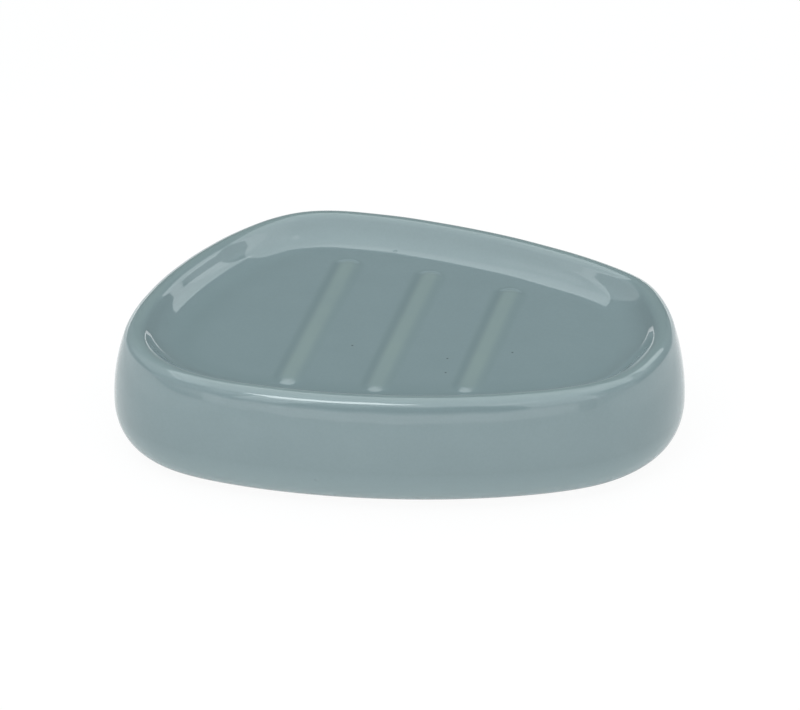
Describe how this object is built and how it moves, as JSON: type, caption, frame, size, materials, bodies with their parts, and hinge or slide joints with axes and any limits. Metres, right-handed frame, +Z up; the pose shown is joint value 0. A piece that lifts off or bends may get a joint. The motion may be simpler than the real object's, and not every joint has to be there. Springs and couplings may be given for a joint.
{
  "type": "soap dish",
  "caption": "Free-standing glazed ceramic soap dish with a rounded off-centre outline, a shallow tray with raised drain ribs, and stick-on anti-slip pads under its base.",
  "frame": {"origin": "on the surface that the dish stands on, under the middle of its bounding box", "axes": "+X along the dish's length to the right as it is used, +Y away from the user to the back, +Z up"},
  "size_m": [0.1402, 0.1074, 0.0294],
  "materials": {
    "glaze": "glossy grey-green glaze over cast stoneware, bare on the foot ring",
    "pad": "matt translucent silicone rubber",
    "tape": "white foam tape, sticky on both faces"
  },
  "bodies": {
    "root": {"dish_body": "glaze", "foot_pad_right": "pad", "foot_pad_back": "pad", "foot_pad_left": "pad", "foot_pad_front": "pad", "pad_tape_right": "tape", "pad_tape_back": "tape", "pad_tape_left": "tape", "pad_tape_front": "tape"}
  },
  "joints": []
}
